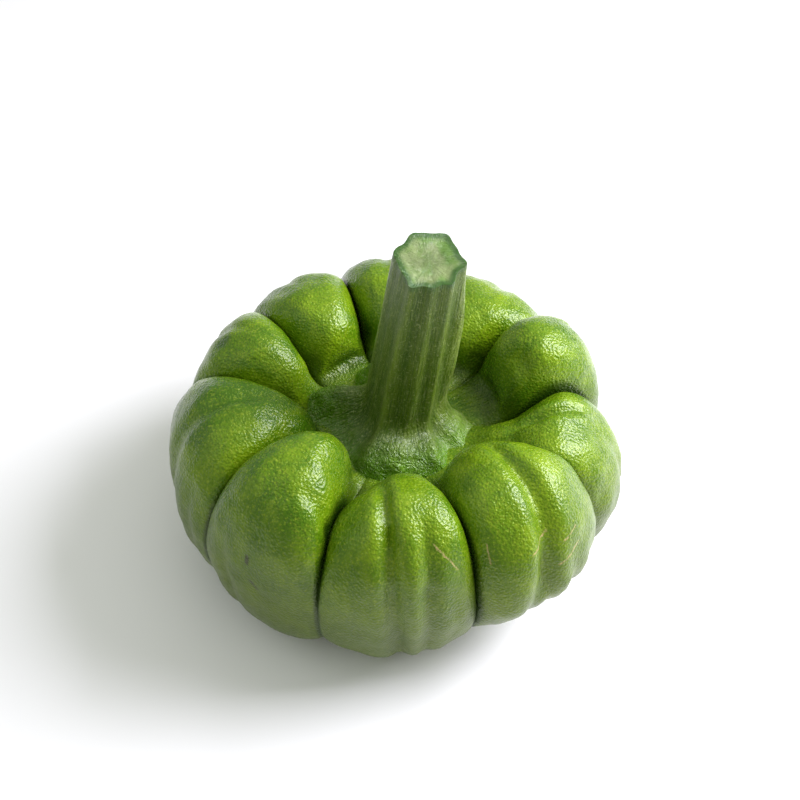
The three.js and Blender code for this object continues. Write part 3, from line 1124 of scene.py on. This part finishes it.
def stalk_material(finish: StalkFinish) -> bpy.types.Material:
    """Mixes the stalk: pale fibres on deep green, a glossy foot and a moist pale cut, with painted
    highlights on its ridges and on the foot's right side and painted shade on the foot's left.

    Args:
        finish: Its colours and gloss.

    Returns:
        The material.
    """
    r = Recipe("fibrous_stalk")
    flow, cut, ridge, cut_rim = (r.read(name) for name in ("flow", "cut", "ridge", "cut_rim"))
    lines, fine = r.grain(0.035, 190.0, 3.0, 0.65), r.grain(0.05, 420.0, 2.0, 0.6)
    share = r.math("ADD", r.times(r.between(lines, 0.3, 0.7), 0.6), r.times(r.read("fibre"), -0.3))
    # Painted highlight and shade: the ridges are painted paler than the valleys between them.
    share = r.math("ADD", share, r.times(ridge, 0.3), clamp=True)
    colour = r.mix(share, finish.deep, finish.bright)
    # The ridges' painted highlight, broken up along the fibres.
    ridge_highlight_breakup = r.spread(r.between(r.grain(0.2, 45.0, 3.0, 0.6), 0.35, 0.65), 0.15, 1.0)
    colour = r.lay(colour, finish.ridge, r.times(r.between(ridge, 0.5, 1.5), ridge_highlight_breakup), 0.85)
    colour = r.lay(colour, finish.foot, r.between(flow, 0.62, 0.9), 0.8)
    # Painted light on the foot's right side, towards the key light, and painted shade on its hollow left
    # side.
    colour = r.lay(colour, finish.ridge, r.read("lit"), 0.6)
    colour = r.lay(colour, finish.deep, r.read("hollow"), 0.35)
    colour = r.lay(colour, finish.deep, r.between(lines, 0.52, 0.3), 0.5)
    swollen = r.times(r.read("swollen"), r.between(flow, 0.6, 0.75))
    colour = r.lay(colour, finish.fibre, r.between(fine, 0.52, 0.68), r.spread(swollen, 0.5, 0.15))
    specks = r.between(r.noise(0.9, 2.0, 0.6), 0.57, 0.68)
    colour = r.lay(colour, finish.fibre, specks, r.spread(swollen, 0.55, 0.2))
    uneven = r.times(r.math("SUBTRACT", r.noise(3.0, 3.0, 0.6), 0.5), 0.5)
    outer = r.between(r.math("ADD", cut_rim, uneven), 0.05, 0.6)
    flesh = r.mix(r.between(r.noise(6.0, 3.0, 0.55), 0.35, 0.65), finish.flesh, finish.pith)
    colour = r.mix(cut, colour, r.lay(flesh, finish.rim, outer, 0.75))
    ragged = r.spread(r.between(r.noise(2.5, 3.0, 0.6), 0.35, 0.65), 0.2, 0.75)
    colour = r.lay(colour, finish.rim, r.between(cut_rim, 0.4, 0.95), ragged)
    rough = r.spread(r.noise(2.0, 2.0), finish.roughness - 0.1, finish.roughness + 0.12)
    rough = r.math("SUBTRACT", rough, r.times(cut, 0.18))
    rough = r.math("SUBTRACT", rough, r.times(r.between(flow, 0.7, 0.95), 0.12))
    straight = r.times(lines, r.spread(swollen, 1.0, 0.25))
    curls = r.times(r.noise(2.4, 2.0, 0.6, 1.5), r.spread(swollen, 0.15, 1.0))
    normal = r.bump([(straight, 1.0, 0.8), (curls, 1.0, 1.5), (r.noise(0.8, 2.0, 0.65), 0.9, 0.5)])
    wax = r.bump([(straight, 0.8, 0.7), (curls, 1.0, 1.5), (r.noise(0.9, 2.0, 0.6), 0.6, 0.3)])
    r.set(Base_Color=colour, Roughness=rough, Normal=normal)
    r.set(Specular_IOR_Level=finish.shine, Specular_Tint=finish.sheen)
    r.set(Coat_Weight=finish.wax, Coat_Roughness=finish.wax_roughness, Coat_Normal=wax)
    r.set(Subsurface_Weight=0.1, Subsurface_Radius=(0.5, 1.0, 0.3), Subsurface_Scale=0.003)
    return r.material


def dress(piece: bpy.types.Object, material: bpy.types.Material) -> None:
    """Gives a piece its one material."""
    piece.data.materials.clear()
    piece.data.materials.append(material)


# ---- The studio -------------------------------------------------------------------------------------


@dataclass(frozen=True)
class Softbox:
    """A square soft light, by its direction from the object, distance, size, strength and colour."""

    name: str
    azimuth: float
    elevation: float
    distance: float
    size: float
    power: float
    colour: Colour = (1.0, 1.0, 1.0)


@dataclass
class Studio:
    """The floor, the lights and the camera."""

    target: Vector
    azimuth: float = 0.0
    elevation: float = 48.0
    distance: float = 480.0
    lens: float = 59.7
    sensor: float = 36.0
    boxes: tuple[Softbox, ...] = (
        Softbox("key", 102, 38, 650, 400, 10.4, (0.84, 0.82, 1.0)),
        Softbox("overhead", 150, 78, 800, 900, 1.2),
        Softbox("left_fill", -75, 45, 800, 600, 0.8, (0.85, 0.92, 1.0)),
    )
    sky: Colour = (0.96, 0.98, 1.0)
    sky_strength: float = 0.47
    floor_size: float = 12000.0
    floor_colour: Colour = (0.92, 0.92, 0.84)

    def towards(self, azimuth: float, elevation: float) -> Vector:
        """Unit vector from the object, azimuth counted from the front to the right, in degrees."""
        a, e = math.radians(azimuth), math.radians(elevation)
        return Vector((math.sin(a) * math.cos(e), -math.cos(a) * math.cos(e), math.sin(e)))

    def place(self, thing: bpy.types.Object, azimuth: float, elevation: float, distance: float) -> None:
        """Puts a lamp or the camera round the target and turns it to look there.

        Args:
            thing: The lamp or camera.
            azimuth: Its direction from the target, counted from the front to the right, in degrees.
            elevation: Its direction upwards, in degrees.
            distance: Its distance, in millimetres.
        """
        away = self.towards(azimuth, elevation)
        thing.location = (self.target + away * distance) * MM
        thing.rotation_euler = away.to_track_quat("Z", "Y").to_euler()

    def build(self) -> None:
        """Adds the floor, the lights, the sky and the camera."""
        put_down_everything()
        bpy.ops.mesh.primitive_plane_add(size=self.floor_size * MM, location=(0.0, 0.0, 0.0))
        floor = bpy.context.object
        floor.name = "floor"
        paper = Recipe("pale_paper")
        paper.set(Base_Color=self.floor_colour, Roughness=0.9, Specular_IOR_Level=0.1)
        dress(floor, paper.material)
        for box in self.boxes:
            lamp = bpy.data.lights.new(box.name, "AREA")
            lamp.size = box.size * MM
            lamp.energy = box.power
            lamp.color = box.colour
            holder = bpy.data.objects.new(box.name, lamp)
            bpy.context.scene.collection.objects.link(holder)
            self.place(holder, box.azimuth, box.elevation, box.distance)
        world = bpy.data.worlds.new("studio")
        world.use_nodes = True
        background = world.node_tree.nodes["Background"]
        background.inputs["Color"].default_value = (*self.sky, 1.0)
        background.inputs["Strength"].default_value = self.sky_strength
        bpy.context.scene.world = world
        bpy.context.scene.view_settings.view_transform = "Standard"
        camera = bpy.data.cameras.new("camera")
        camera.lens = self.lens
        camera.sensor_width = self.sensor
        camera.clip_start = 0.01
        holder = bpy.data.objects.new("camera", camera)
        bpy.context.scene.collection.objects.link(holder)
        self.place(holder, self.azimuth, self.elevation, self.distance)
        bpy.context.scene.camera = holder


# ---- The whole --------------------------------------------------------------------------------------

# Where the camera looks: so far to the right of the rind's axis, and below the middle of the height.
AIM_RIGHT, AIM_DOWN = 5.4, 1.0


def main() -> None:
    """Builds the rind, the stem and the studio."""
    logging.basicConfig(level=logging.INFO, format="%(name)s: %(message)s")
    rind = Rind()
    fruit = rind.build()
    dress(fruit, rind_material(RindFinish()))
    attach(fruit, "root")
    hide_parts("fruit")
    log.info("rind: %d faces, axis at %.2f, %.2f mm", len(fruit.data.polygons), *rind.axis)

    stem = Stem(foot=rind.crown)
    stalk = stem.build()
    dress(stalk, stalk_material(StalkFinish()))
    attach(stalk, "root")
    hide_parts("stem")
    log.info("stalk: %d faces, foot at %.2f, %.2f, %.2f mm", len(stalk.data.polygons), *stem.foot)

    middle = (CAD_BOUNDS[0] + CAD_BOUNDS[1]) / 2 / MM
    Studio(target=Vector((rind.axis.x + AIM_RIGHT, rind.axis.y, middle.z - AIM_DOWN))).build()
    log.info("studio: lit")


if __name__ == "__main__":
    main()
